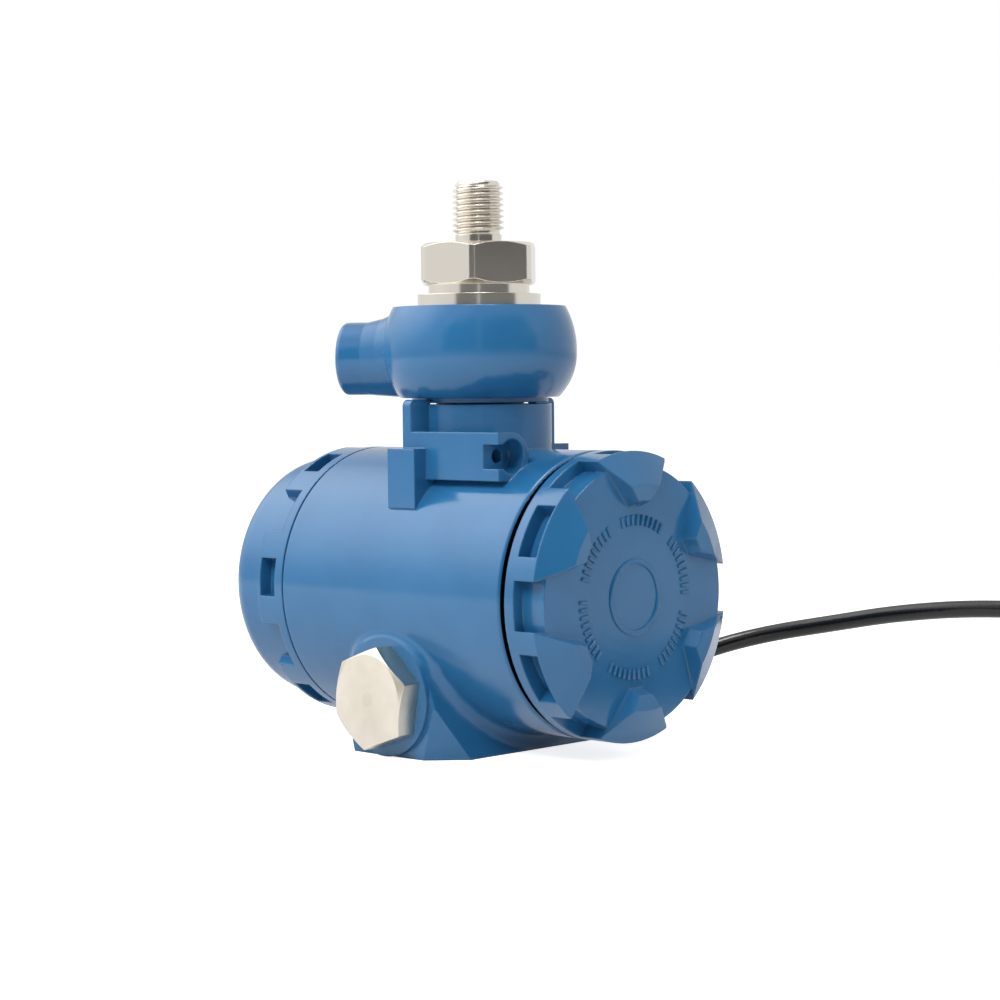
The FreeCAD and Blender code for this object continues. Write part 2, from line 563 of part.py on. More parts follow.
def build_process_connection():
    """Turned from hexagon bar: sealing plug, flange, hexagon, shank and tapered male thread."""
    body = new_body("process_connection")
    revolve(body, "turned_bar", [
        ("port_radius", PLUG_BOTTOM), ("plug_radius", PLUG_BOTTOM), ("plug_radius", "collar_top"),
        ("flange_radius", "collar_top"), ("flange_radius", FLANGE_TOP),
        ("step_radius", FLANGE_TOP), ("step_radius", HEX_BOTTOM), ("hex_face_radius", HEX_BOTTOM),
        ("hex_bar_radius", f"{HEX_BOTTOM} + hex_chamfer"), ("hex_bar_radius", f"{HEX_TOP} - hex_chamfer"),
        ("hex_face_radius", HEX_TOP), ("shank_radius", HEX_TOP), ("shank_radius", THREAD_BOTTOM),
        ("thread_bottom_radius", f"{THREAD_BOTTOM} + thread_chamfer"),
        ("thread_tip_radius", f"{TIP} - thread_chamfer"),
        ("thread_tip_radius - thread_chamfer", TIP), ("port_radius", TIP)])
    flats = sketch(body, "flats_section", "XY_Plane", HEX_BOTTOM)
    ring(flats, "0", "0", "hex_bar_radius + 2")
    hexagon(flats, "hex_flats", "hex_heading")
    feature(body, "Pocket", "hex_flats_cut", flats, Length="hex_high", Reversed=True)
    return body


def build_sensor():
    """Measuring cell under the pressure port, its lead and the plug on the lead's end."""
    o_ring("connection_seal", "port_seal_radius", "collar_top - port_groove_depth + port_seal_wire / 2",
           "port_seal_wire / 2")
    o_ring("neck_seal", "stub_groove_radius + neck_seal_wire / 2 + neck_seal_clearance", "neck_seal_height",
           "neck_seal_wire / 2")
    turned("sensor_capsule", [
        ("0", f"{CAPSULE_BOTTOM} - capsule_stem"),
        ("capsule_stem_radius", f"{CAPSULE_BOTTOM} - capsule_stem"),
        ("capsule_stem_radius", CAPSULE_BOTTOM),
        ("capsule_radius", CAPSULE_BOTTOM), ("capsule_radius", PLUG_BOTTOM),
        ("0", PLUG_BOTTOM)])
    turned("sensor_lead", [
        ("0", LEAD_BOTTOM), ("lead_radius", LEAD_BOTTOM),
        ("lead_radius", f"{CAPSULE_BOTTOM} - capsule_stem"),
        ("0", f"{CAPSULE_BOTTOM} - capsule_stem")])
    plug = new_body("sensor_lead_plug")
    section = sketch(plug, "plug_section", "XY_Plane", f"{LEAD_BOTTOM} - lead_plug_height")
    box_outline(section, "-lead_plug_half", "lead_plug_half", "-lead_plug_half", "lead_plug_half")
    feature(plug, "Pad", "plug_block", section, Length="lead_plug_height - lead_gap")


# ---------------------------------------------------------------- conduit entries
def hex_cut(body, name, flats, heading, start, length):
    """Mill a hexagon on the turned bar, between two heights."""
    section = sketch(body, f"{name}_section", "XY_Plane", start)
    ring(section, "0", "0", "nut_bar_radius + 4")
    hexagon(section, flats, heading)
    feature(body, "Pocket", name, section, Length=length, Reversed=True)


def entry_stub(length):
    """The threaded end of a plug or gland, below its head's seat, as corners of an outline."""
    return [("plug_thread_radius - thread_lead", f"-{length}"),
            ("plug_thread_radius", f"thread_lead - {length}"), ("plug_thread_radius", "0")]


def build_conduit_plug():
    """Stainless hexagon plug for the unused entry."""
    body = new_body("conduit_plug")
    revolve(body, "plug_bar", [("0", "-plug_length")] + entry_stub("plug_length") + [
        ("nut_bar_radius", "0"), ("nut_bar_radius", "plug_head - nut_chamfer"),
        ("nut_face_radius", "plug_head"), ("0", "plug_head")])
    hex_cut(body, "plug_flats", "nut_flats", "plug_heading", "0", "plug_head")
    place(body, across="-boss_face", up="boss_radius", rotation=FACING_LEFT)
    o_ring("conduit_plug_seal", "entry_seal_radius", "-entry_seal_wire - entry_seal_inset", "entry_seal_wire",
           across="-boss_face", up="boss_radius", rotation=FACING_LEFT)


def build_gland():
    """Plated brass cable gland: body, rubber sleeve, slip washer and domed cap."""
    where = {"across": "boss_face", "up": "boss_radius", "rotation": FACING_RIGHT}
    throat = "cable_radius + cable_clearance"
    mouth = "gland_hex + gland_neck"
    body = new_body("gland_body")
    revolve(body, "gland_bar", [(throat, "-gland_stub")] + entry_stub("gland_stub") + [
        ("nut_bar_radius", "0"), ("nut_bar_radius", "gland_hex - nut_chamfer"),
        ("nut_face_radius", "gland_hex"), ("gland_neck_radius", "gland_hex"),
        ("gland_neck_radius", mouth), ("gland_bore_radius", mouth),
        ("gland_bore_radius", "gland_shelf"), (throat, "gland_shelf")])
    hex_cut(body, "gland_flats", "nut_flats", "gland_heading", "0", "gland_hex")
    place(body, **where)
    o_ring("gland_seal", "entry_seal_radius", "-entry_seal_wire - entry_seal_inset", "entry_seal_wire",
           **where)
    turned("gland_sleeve", [
        ("cable_radius", "gland_shelf"), ("gland_bore_radius - sleeve_clearance", "gland_shelf"),
        ("gland_bore_radius - sleeve_clearance", f"{mouth} + sleeve_proud"),
        ("cable_radius", f"{mouth} + sleeve_proud")], **where)
    slip = f"{mouth} + sleeve_proud"
    turned("gland_slip_washer", [
        (throat, slip), ("slip_radius", slip), ("slip_radius", f"{slip} + slip_thick"),
        (throat, f"{slip} + slip_thick")], **where)
    lip = f"{slip} + slip_thick + slip_clearance"
    cap = new_body("gland_cap")
    revolve(cap, "cap_bar", [
        ("gland_neck_radius + cap_clearance", "gland_hex + cap_gap"),
        ("cap_bar_radius", "gland_hex + cap_gap"), ("cap_bar_radius", f"{lip} + cap_lip - cap_dome"),
        ("cap_dome_radius", f"{lip} + cap_lip"), (throat, f"{lip} + cap_lip"), (throat, lip),
        ("gland_neck_radius + cap_clearance", lip)])
    hex_cut(cap, "cap_flats_cut", "cap_flats", "gland_heading", "gland_hex + cap_gap",
            f"{lip} + cap_lip - gland_hex - cap_gap")
    place(cap, **where)


# ---------------------------------------------------------------- electronics
def build_module():
    """Potted electronics cup with two fixing tabs and a socket behind for the sensor's lead."""
    body = new_body("electronics_module")
    puck = sketch(body, "puck_section", "XY_Plane")
    ring(puck, "0", "0", "module_radius")
    feature(body, "Pad", "puck", puck, Length="module_thick")
    bar = sketch(body, "tab_bar_section", "XY_Plane")
    box_outline(bar, "-tab_radius", "tab_radius", "tap_inset - lug_across", "lug_across - tap_inset")
    feature(body, "Pad", "tab_bar", bar, Length="flange_thick")
    tabs = sketch(body, "tab_section", "XY_Plane")
    ring(tabs, "0", "lug_across - tap_inset", "tab_radius")
    ring(tabs, "0", "tap_inset - lug_across", "tab_radius")
    feature(body, "Pad", "tabs", tabs, Length="flange_thick")
    holes = sketch(body, "tab_hole_section", "XY_Plane")
    ring(holes, "0", "lug_across - tap_inset", "screw_hole_radius")
    ring(holes, "0", "tap_inset - lug_across", "screw_hole_radius")
    feature(body, "Pocket", "tab_holes", holes, Length="flange_thick", Reversed=True)
    socket = sketch(body, "socket_section", "XY_Plane")
    box_outline(socket, "socket_base", "socket_base + socket_rise", "-socket_wide / 2", "socket_wide / 2")
    feature(body, "Pad", "socket", socket, Length="lug_half + socket_wide / 2", Reversed=True)
    well = sketch(body, "socket_well_section", "YZ_Plane", "lead_rise - lead_plug_height")
    box_outline(well, "-socket_hole_half", "socket_hole_half", "-lug_half - socket_hole_half",
                "socket_hole_half - lug_half")
    feature(body, "Pocket", "socket_well", well, Length="socket_rise", Reversed=True)
    place(body, along="-lug_half", up="housing_height", rotation=FACING_FRONT)


def build_board():
    """Round circuit board on the cup, with two trimmers for zero and span."""
    where = {"along": "-lug_half - module_thick", "up": "housing_height", "rotation": FACING_FRONT}
    board = new_body("circuit_board")
    disc = sketch(board, "board_section", "XY_Plane")
    ring(disc, "0", "0", "board_radius")
    feature(board, "Pad", "board", disc, Length="board_thick")
    place(board, **where)
    for name, side in (("zero_trimmer", 1), ("span_trimmer", -1)):
        across = f"{side} * trimmer_across"
        spot = {"across": across, "along": "-lug_half - module_thick - board_thick",
                "up": "housing_height + trimmer_rise", "rotation": FACING_FRONT}
        pot = new_body(f"{name}_body")
        square = sketch(pot, "pot_section", "XY_Plane")
        box_outline(square, "-trimmer_half", "trimmer_half", "-trimmer_half", "trimmer_half")
        feature(pot, "Pad", "pot", square, Length="trimmer_body")
        bore = sketch(pot, "pot_bore_section", "XY_Plane", "trimmer_body")
        ring(bore, "0", "0", "trimmer_bore_radius")
        feature(pot, "Pocket", "pot_bore", bore,
                Length="trimmer_screw_length - trimmer_proud + screw_clearance")
        place(pot, **spot)
        rotor = new_body(f"{name}_screw")
        disc = sketch(rotor, "rotor_section", "XY_Plane", "trimmer_body + trimmer_proud")
        ring(disc, "0", "0", "trimmer_screw_radius")
        feature(rotor, "Pad", "rotor", disc, Length="trimmer_screw_length", Reversed=True)
        slot = sketch(rotor, "rotor_slot_section", "XY_Plane", "trimmer_body + trimmer_proud")
        box_outline(slot, "-trimmer_screw_radius - 1", "trimmer_screw_radius + 1", "-slot_wide / 2",
                    "slot_wide / 2")
        feature(rotor, "Pocket", "rotor_slot", slot, Length="slot_depth")
        place(rotor, **spot)


def build_terminals():
    """Moulded terminal block across the rear lugs, with clamp plates and screws."""
    body = new_body("terminal_block")
    brick = sketch(body, "brick_section", "XY_Plane")
    box_outline(brick, "-block_high / 2", "block_high / 2", "-block_wide / 2", "block_wide / 2")
    feature(body, "Pad", "brick", brick, Length="block_deep")
    bar = sketch(body, "tab_bar_section", "XY_Plane")
    box_outline(bar, "-tab_radius", "tab_radius", "tap_inset - lug_across", "lug_across - tap_inset")
    feature(body, "Pad", "tab_bar", bar, Length="flange_thick")
    tabs = sketch(body, "tab_section", "XY_Plane")
    ring(tabs, "0", "lug_across - tap_inset", "tab_radius")
    ring(tabs, "0", "tap_inset - lug_across", "tab_radius")
    feature(body, "Pad", "tabs", tabs, Length="flange_thick")
    holes = sketch(body, "tab_hole_section", "XY_Plane")
    ring(holes, "0", "lug_across - tap_inset", "screw_hole_radius")
    ring(holes, "0", "tap_inset - lug_across", "screw_hole_radius")
    feature(body, "Pocket", "tab_holes", holes, Length="flange_thick", Reversed=True)
    count = int(value("terminal_count"))
    barriers = sketch(body, "barrier_section", "XY_Plane", "block_deep")
    for index in range(count + 1):
        middle = f"(({index}) - terminal_count / 2) * terminal_pitch"
        box_outline(barriers, "-block_high / 2", "block_high / 2", f"{middle} - barrier_thick / 2",
                    f"{middle} + barrier_thick / 2")
    feature(body, "Pad", "barriers", barriers, Length="barrier_rise")
    wells = sketch(body, "screw_well_section", "XY_Plane", "block_deep")
    for index in range(count):
        ring(wells, "0", f"({index} - (terminal_count - 1) / 2) * terminal_pitch",
             "screw_shank_radius + screw_clearance")
    feature(body, "Pocket", "screw_wells", wells, Length="screw_length")
    place(body, along="lug_half", up="housing_height", rotation=FACING_REAR)


def screw_body():
    """One pan-head screw, its seat at height 0 and its shank below."""
    body = new_body("screw_pattern", keep=False)
    revolve(body, "screw_turned", [
        ("0", "-screw_length"), ("screw_shank_radius", "-screw_length"), ("screw_shank_radius", "0"),
        ("screw_head_radius", "0"), ("screw_head_radius", "screw_head - screw_head_edge"),
        ("screw_head_radius - screw_head_edge", "screw_head"), ("0", "screw_head")])
    slot = sketch(body, "screw_slot_section", "XY_Plane", "screw_head")
    box_outline(slot, "-screw_head_radius - 1", "screw_head_radius + 1", "-screw_slot / 2", "screw_slot / 2")
    feature(body, "Pocket", "screw_slot_cut", slot, Length="screw_head / 2")
    return body


def turned_to(shape, rotation, across, along, up):
    """A copy of a shape, turned and put in place."""
    copy = shape.copy()
    copy.Placement = Placement(Vector(value(across), value(along), value(up)), rotation)
    return copy


def build_screws():
    """Screws, clamp plates and washers; like ones share a node."""
    screw = screw_body()
    doc.recompute()
    shape = screw.Shape
    group("module_screws", [
        turned_to(shape, FACING_FRONT, f"{side} * (lug_across - tap_inset)", "-lug_half - flange_thick",
                  "housing_height") for side in (-1, 1)])
    group("block_screws", [
        turned_to(shape, FACING_REAR, f"{side} * (lug_across - tap_inset)", "lug_half + flange_thick",
                  "housing_height") for side in (-1, 1)])
    count = int(value("terminal_count"))
    spots = [f"({index} - (terminal_count - 1) / 2) * terminal_pitch" for index in range(count)]
    group("terminal_screws", [
        turned_to(shape, FACING_REAR, spot, "lug_half + block_deep + clamp_thick", "housing_height")
        for spot in spots])
    plate = Part.makeBox(value("clamp_wide"), value("clamp_thick"), value("clamp_high"))
    plate.translate(Vector(-value("clamp_wide") / 2, 0, -value("clamp_high") / 2))
    hole = Part.makeCylinder(value("screw_shank_radius + screw_clearance"), value("clamp_thick"),
                             Vector(0, 0, 0), Vector(0, 1, 0))
    plate = plate.cut(hole)
    group("terminal_clamps", [moved(plate, spot, "lug_half + block_deep", "housing_height")
                              for spot in spots])
    group("earth_screw", [turned_to(shape, FACING_REAR, "earth_across", "lug_half + washer_thick",
                                    "housing_height + earth_rise")])
    turned("earth_washer", [
        ("screw_shank_radius + screw_clearance", "0"), ("washer_radius", "0"),
        ("washer_radius", "washer_thick"), ("screw_shank_radius + screw_clearance", "washer_thick")],
        across="earth_across", along="lug_half", up="housing_height + earth_rise", rotation=FACING_REAR)
    set_length = "neck_radius - stub_radius - set_tip_gap"
    turned("neck_set_screw", [
        ("0", "0"), ("set_screw_radius", "0"), ("set_screw_radius", set_length),
        ("set_socket_radius", set_length), ("set_socket_radius", f"{set_length} - set_socket_depth"),
        ("0", f"{set_length} - set_socket_depth")],
        along="stub_radius + set_tip_gap", up="set_screw_height", rotation=FACING_REAR)


# ---------------------------------------------------------------- cable
def cord_path(points):
    """Straight runs joined by arcs, each as large as its two runs allow; returns the wire and radii."""
    corners = [Vector(*point) for point in points]
    edges, radii = [], []
    start = corners[0]
    for before, corner, after in zip(corners, corners[1:], corners[2:]):
        inward, outward = (corner - before), (after - corner)
        shorter = min(inward.Length, outward.Length)
        inward.normalize()
        outward.normalize()
        half_turn = inward.getAngle(outward) / 2
        setback = 0.45 * shorter
        radii.append(setback / math.tan(half_turn))
        entry, leave = corner - inward * setback, corner + outward * setback
        toward = (entry + leave) / 2 - corner
        toward.normalize()
        centre = corner + toward * (radii[-1] / math.cos(half_turn))
        to_corner = corner - centre
        middle = centre + to_corner.normalize() * radii[-1]
        edges += [Part.LineSegment(start, entry).toShape(), Part.Arc(entry, middle, leave).toShape()]
        start = leave
    edges.append(Part.LineSegment(start, corners[-1]).toShape())
    return Part.Wire(edges), radii


def cord(name, points, radius):
    """A round tube along the route."""
    wire, radii = cord_path(points)
    heading = Vector(*points[1]) - Vector(*points[0])
    disc = Part.Wire([Part.Circle(Vector(*points[0]), heading, radius).toShape()])
    tube = wire.makePipeShell([disc], True, False, 2)
    expected = math.pi * radius**2 * wire.Length
    print(f"{name}: length {wire.Length:.1f}, volume {tube.Volume:.1f} of {expected:.1f}, "
          f"radii {[round(r, 1) for r in radii]}")
    made = doc.addObject("Part::Feature", name)
    made.Label = name
    made.Shape = tube
    PIECES.append(made)
    return wire


def build_cable():
    """Round two-core cable: inner tail, outer run, put-away coil of two layers and stripped end."""
    entry = "boss_face + gland_hex + gland_neck + sleeve_proud + slip_thick + slip_clearance + cap_lip"
    turned("cable_tail", [("0", "tail_end"), ("cable_radius", "tail_end"), ("cable_radius", entry),
                          ("0", entry)], up="boss_radius", rotation=FACING_RIGHT)
    exit_point = (value(entry), 0.0, value("boss_radius"))
    route = [exit_point, (64.2, 0.0, 14.3), (78.2, -1.0, 14.1), (89.9, -6.7, 17.5), (98.2, -16.6, 20.4),
             (103.6, -30.6, 23.1), (108.2, -48.0, 26.5), (112.7, -67.5, 28.7), (118.6, -86.6, 28.9),
             (125.9, -103.1, 20.6), (133.0, -116.3, 11.2), (136.7, -127.7, 4.9), (137.6, -138.7, 2.4)]
    cord("cable", route, value("cable_radius"))
    coil = new_body("cable_coil")
    section = sketch(coil, "coil_section", "XZ_Plane")
    inner, outer = "(coil_radius - coil_wide / 2)", "(coil_radius + coil_wide / 2)"
    outline(section, [(inner, "cable_radius", "cable_radius"), (f"{inner} + cable_radius", "0"),
                      (f"{outer} - cable_radius", "0", "cable_radius"),
                      (outer, "cable_radius", "cable_radius"),
                      (f"{outer} - cable_radius", "2 * cable_radius"), ("coil_shelf", "2 * cable_radius"),
                      ("coil_shelf", "coil_high - cable_radius", "cable_radius"),
                      ("coil_shelf - cable_radius", "coil_high"),
                      (f"{inner} + cable_radius", "coil_high", "cable_radius"),
                      (inner, "coil_high - cable_radius")])
    made = feature(coil, "Revolution", "coil_ring", section, Angle=360.0)
    made.ReferenceAxis = (section, ["V_Axis"])
    place(coil, across="coil_across", along="coil_along")
    lead_out = [(132.9, -142.7, 7.0), (130.0, -154.2, 7.1), (122.7, -164.6, 7.2), (111.0, -170.9, 7.2),
                (98.5, -170.9, 7.0), (91.0, -170.6, 4.6), (83.0, -169.6, 2.3), (74.5, -168.2, 2.3)]
    cord("cable_lead_out", lead_out, value("cable_radius"))
    bared = []
    end = Vector(*lead_out[-1])
    heading = (end - Vector(*lead_out[-2])).normalize()
    across = Vector(heading.y, -heading.x, 0.0)
    for side in (-1, 1):
        start = end + across * (side * value("core_radius + core_gap / 2"))
        core = Part.makeCylinder(value("core_radius"), value("strip_length"), start, heading)
        ferrule = Part.makeCylinder(value("ferrule_radius"), value("ferrule_length"),
                                    start + heading * value("strip_length"), heading)
        bared.append(core.fuse(ferrule))
    group("cable_end_cores", bared)


def build_inner_cores():
    """The two cores from the jacket's end to their clamps on the terminal block."""
    clamp_edge = value("housing_height - clamp_high / 2")
    seat = value("lug_half + block_deep + core_radius")
    level, tail = value("boss_radius"), value("tail_end")
    climb = value("housing_height - block_high / 2") - level
    straight, apart = value("core_straight"), value("core_apart") / 2
    for name, side, clamp, bend, reach in (("positive_core", 1, value("terminal_pitch"), 11.5, 4.0),
                                           ("negative_core", -1, 0.0, 9.0, 1.0)):
        cord(name, [(tail, side * apart, level), (tail - straight, side * apart, level),
                    (bend, reach, level + 0.3 * climb),
                    ((bend + 2 * clamp) / 3, (reach + seat) / 2, level + 0.5 * climb),
                    (clamp, seat, level + 0.78 * climb), (clamp, seat, clamp_edge)], value("core_radius"))


build_housing()
build_front_cover()
build_rear_cover()
build_cover_seals()
build_sensor_housing()
build_process_connection()
build_sensor()
build_conduit_plug()
build_gland()
build_module()
build_board()
build_terminals()
build_screws()
build_cable()
build_inner_cores()
doc.recompute()

# ---------------------------------------------------------------- checks and files
for item in doc.Objects:
    if "Invalid" in item.State or "Error" in item.State:
        raise RuntimeError(f"{item.Name} ({item.Label}) is in state {item.State}")
for piece in PIECES:
    if piece.Shape.isNull() or not piece.Shape.isValid() or not piece.Shape.Solids:
        raise RuntimeError(f"{piece.Label} has no valid solid")
os.makedirs("parts", exist_ok=True)
for piece in PIECES:
    piece.Shape.exportStep(f"parts/{piece.Label}.step")
    box = piece.Shape.BoundBox
    print(f"{piece.Label}: {len(piece.Shape.Solids)} solid(s), volume {piece.Shape.Volume:.1f}, "
          f"x {box.XMin:.1f}..{box.XMax:.1f} y {box.YMin:.1f}..{box.YMax:.1f} "
          f"z {box.ZMin:.1f}..{box.ZMax:.1f}")
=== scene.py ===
import math

import bmesh
import bpy
from mathutils import Matrix, Vector


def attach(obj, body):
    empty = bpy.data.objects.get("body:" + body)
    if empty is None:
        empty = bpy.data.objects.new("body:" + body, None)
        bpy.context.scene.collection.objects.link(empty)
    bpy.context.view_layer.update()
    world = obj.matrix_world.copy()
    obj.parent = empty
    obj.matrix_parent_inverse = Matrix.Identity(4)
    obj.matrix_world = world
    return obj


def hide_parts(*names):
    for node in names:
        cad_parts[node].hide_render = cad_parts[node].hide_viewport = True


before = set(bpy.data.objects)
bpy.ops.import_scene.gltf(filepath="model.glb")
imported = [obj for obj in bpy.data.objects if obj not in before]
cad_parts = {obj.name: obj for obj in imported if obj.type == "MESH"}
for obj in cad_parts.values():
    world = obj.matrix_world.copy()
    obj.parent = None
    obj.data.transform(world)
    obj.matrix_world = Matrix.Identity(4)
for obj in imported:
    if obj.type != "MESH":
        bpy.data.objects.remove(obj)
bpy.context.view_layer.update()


# ---------------------------------------------------------------- camera
# The viewpoint: low and in front of the plugged side, looking a little down on the drum.
camera_place = Vector((-0.4327, -0.4244, 0.0894))
heading, pitch, roll = math.radians(44.003), math.radians(-2.77), math.radians(-0.56)
level_forward = Vector((math.cos(heading), math.sin(heading), 0.0))
level_right = Vector((math.sin(heading), -math.cos(heading), 0.0))
forward = level_forward * math.cos(pitch) + Vector((0, 0, math.sin(pitch)))
level_up = Vector((0, 0, math.cos(pitch))) - level_forward * math.sin(pitch)
right = level_right * math.cos(roll) + level_up * math.sin(roll)
up = level_up * math.cos(roll) - level_right * math.sin(roll)
turn = Matrix((right, up, -forward)).transposed().to_4x4()
camera = bpy.data.objects.new("camera", bpy.data.cameras.new("camera"))
camera.data.sensor_width = 36.0
camera.data.lens = 87.9
camera.data.clip_start = 0.01
camera.matrix_world = Matrix.Translation(camera_place) @ turn
bpy.context.scene.collection.objects.link(camera)
bpy.context.scene.camera = camera


# ---------------------------------------------------------------- floor and light
# A white sweep that keeps only the object's soft shadow, under soft boxes in a white room. What the
# surfaces mirror is the room: dark where the viewer stands, but for one bright slit, with a soft box
# to the side and a small lamp overhead. The boxes that light the part aren't mirrored themselves.
class Term:
    """A value in a material's nodes. Sums and products of terms add their own Math nodes."""

    def __init__(self, tree, socket=None):
        self.tree, self.socket = tree, socket

    def node(self, kind, settings=None, inputs=None, output=0):
        """Add a node: its settings first, then values or links for its sockets."""
        made = self.tree.nodes.new(kind)
        for setting, given in (settings or {}).items():
            if setting == "stops":
                ramp = made.color_ramp
                while len(ramp.elements) < len(given):
                    ramp.elements.new(0.5)
                for element, (spot, colour) in zip(ramp.elements, given):
                    element.position, element.color = spot, colour
            else:
                setattr(made, setting, given)
        for name, given in (inputs or {}).items():
            if isinstance(given, Term):
                self.tree.links.new(given.socket, made.inputs[name])
            else:
                made.inputs[name].default_value = given
        return Term(self.tree, made.outputs[output])

    def maths(self, operation, first, second=0.0):
        return self.node("ShaderNodeMath", {"operation": operation}, {0: first, 1: second})

    def __add__(self, other):
        return self.maths("ADD", self, other)

    def __sub__(self, other):
        return self.maths("SUBTRACT", self, other)

    def __rsub__(self, other):
        return self.maths("SUBTRACT", other, self)

    def __mul__(self, other):
        return self.maths("MULTIPLY", self, other)

    __radd__, __rmul__ = __add__, __mul__

    def ramped(self, low, high):
        """0 at low, 1 at high, and level beyond."""
        return self.node("ShaderNodeMapRange", {"clamp": True},
                         {"Value": self, "From Min": low, "From Max": high})

    def between(self, low, high, soft):
        """1 between low and high, with soft edges."""
        return self.ramped(low - soft, low) * self.ramped(high + soft, high)

    def mixed(self, first, second):
        """A colour between two, by this term."""
        return self.node("ShaderNodeMix", {"data_type": "RGBA"}, {0: self, 6: first, 7: second}, output=2)

    def along(self, direction):
        """How far this vector reaches in a direction."""
        return self.node("ShaderNodeVectorMath", {"operation": "DOT_PRODUCT"},
                         {0: self, 1: direction}, output=1)

    def from_axis(self, centre, axes):
        """Distance from a line through centre; axes is 0 along the line and 1 across it."""
        offset = self.node("ShaderNodeVectorMath", {"operation": "SUBTRACT"}, {0: self, 1: centre})
        flat = offset.node("ShaderNodeVectorMath", {"operation": "MULTIPLY"}, {0: offset, 1: axes})
        return flat.node("ShaderNodeVectorMath", {"operation": "LENGTH"}, {0: flat}, output=1)


def ink(red, green, blue):
    """A colour given as 0 to 255 on a screen."""
    parts = [part / 255 for part in (red, green, blue)]
    return (*[part / 12.92 if part < 0.04045 else ((part + 0.055) / 1.055) ** 2.4 for part in parts], 1.0)


def ray_kinds(tree):
    """Camera, glossy and transmission rays, each 0 or 1."""
    kinds = tree.nodes.new("ShaderNodeLightPath").outputs
    return [Term(tree, kinds[f"Is {kind} Ray"]) for kind in ("Camera", "Glossy", "Transmission")]


scene = bpy.context.scene
scene.view_settings.view_transform = "Standard"
world = bpy.data.worlds.new("white_room")
world.use_nodes = True
scene.world = world
even = world.node_tree.nodes["Background"]
even.inputs["Color"].default_value = (1.0, 1.0, 1.0, 1.0)
seen, glossy, through = ray_kinds(world.node_tree)
bearing = seen.node("ShaderNodeTexCoord")
dark_side, across_viewer = math.radians(238), math.radians(314)
wall_light, dark_drop, slit_light, overhead_light, side_light, diffuse_light = 0.88, 0.79, 0.7, 11.0, 2.2, 0.4
raised = bearing.along((0.0, 0.0, 1.0))
dark = bearing.along((math.cos(dark_side), math.sin(dark_side), 0.0)).ramped(0.50, 0.56)
dark = dark * raised.ramped(0.72, 0.55)
slit = bearing.along((math.cos(across_viewer), math.sin(across_viewer), 0.0)).between(-0.03, 0.02, 0.01)
overhead = raised.ramped(0.965, 0.99)
side_box = bearing.along((-0.38, 0.70, 0.60)).ramped(0.72, 0.95) * raised.ramped(0.0, 0.6)
mirrored = wall_light - dark * (dark_drop - slit * slit_light)
mirrored = mirrored + overhead * overhead_light + side_box * side_light
direct = seen.maths("MAXIMUM", seen, through)
strength = direct + glossy * mirrored + (1.0 - direct) * (1.0 - glossy) * diffuse_light
world.node_tree.links.new(strength.socket, even.inputs["Strength"])

floor_mesh = bpy.data.meshes.new("floor")
sweep = bmesh.new()
bmesh.ops.create_grid(sweep, x_segments=1, y_segments=1, size=40.0)
sweep.to_mesh(floor_mesh)
floor = bpy.data.objects.new("floor", floor_mesh)
scene.collection.objects.link(floor)
white = bpy.data.materials.new("white_floor")
white.use_nodes = True
shader = white.node_tree.nodes["Principled BSDF"]
shader.inputs["Base Color"].default_value = (0.8, 0.8, 0.8, 1.0)
shader.inputs["Roughness"].default_value = 1.0
shader.inputs["Specular IOR Level"].default_value = 0.0
shader.inputs["Emission Strength"].default_value = 0.8
seen, glossy, through = ray_kinds(white.node_tree)
shown = seen.maths("MAXIMUM", seen, through)
shown = shown.maths("MAXIMUM", shown, glossy * 0.4)
white.node_tree.links.new(shown.socket, shader.inputs["Emission Color"])
floor_mesh.materials.append(white)

for name, place, aim, size, power in (
        ("key_box", (-0.75, -0.15, 0.85), (0, 0, 0.05), 0.5, 10.0),
        ("front_box", (0.35, -0.95, 0.55), (0, 0, 0.05), 0.4, 3.0),
        ("back_box", (-0.5, 0.8, 0.5), (0, 0, 0.06), 0.5, 5.0)):
    lamp = bpy.data.objects.new(name, bpy.data.lights.new(name, "AREA"))
    lamp.data.shape = "SQUARE"
    lamp.data.size = size
    lamp.data.energy = power
    lamp.visible_glossy = False
    toward = Vector(aim) - Vector(place)
    lamp.matrix_world = Matrix.Translation(place) @ toward.to_track_quat("-Z", "Y").to_matrix().to_4x4()
    scene.collection.objects.link(lamp)


# ---------------------------------------------------------------- cable
# Round two-core cable in a glossy black PVC jacket: out of the gland, over the bench to a coil put
# away. The bared cores and their ferrules are on its far end.
def material(name, colour, roughness, metallic=0.0, **constants):
    """A Principled material; returns it with its shader and its object-space position."""
    made = bpy.data.materials.new(name)
    made.use_nodes = True
    shader = made.node_tree.nodes["Principled BSDF"]
    shader.inputs["Base Color"].default_value = colour
    shader.inputs["Roughness"].default_value = roughness
    shader.inputs["Metallic"].default_value = metallic
    for socket, given in constants.items():
        shader.inputs[socket.replace("_", " ")].default_value = given
    place = Term(made.node_tree).node("ShaderNodeTexCoord", output=3)
    return made, shader, place


def feed(shader, socket, term):
    """Link a term to a shader's socket."""
    shader.id_data.links.new(term.socket, shader.inputs[socket])


def noise(place, scale, detail=2.0):
    return place.node("ShaderNodeTexNoise", None, {"Vector": place, "Scale": scale, "Detail": detail})


def bumped(height, distance, strength=1.0, normal=None):
    """A normal from a height; distance is in metres."""
    inputs = {"Height": height, "Strength": strength, "Distance": distance}
    if normal:
        inputs["Normal"] = normal
    return height.node("ShaderNodeBump", None, inputs)


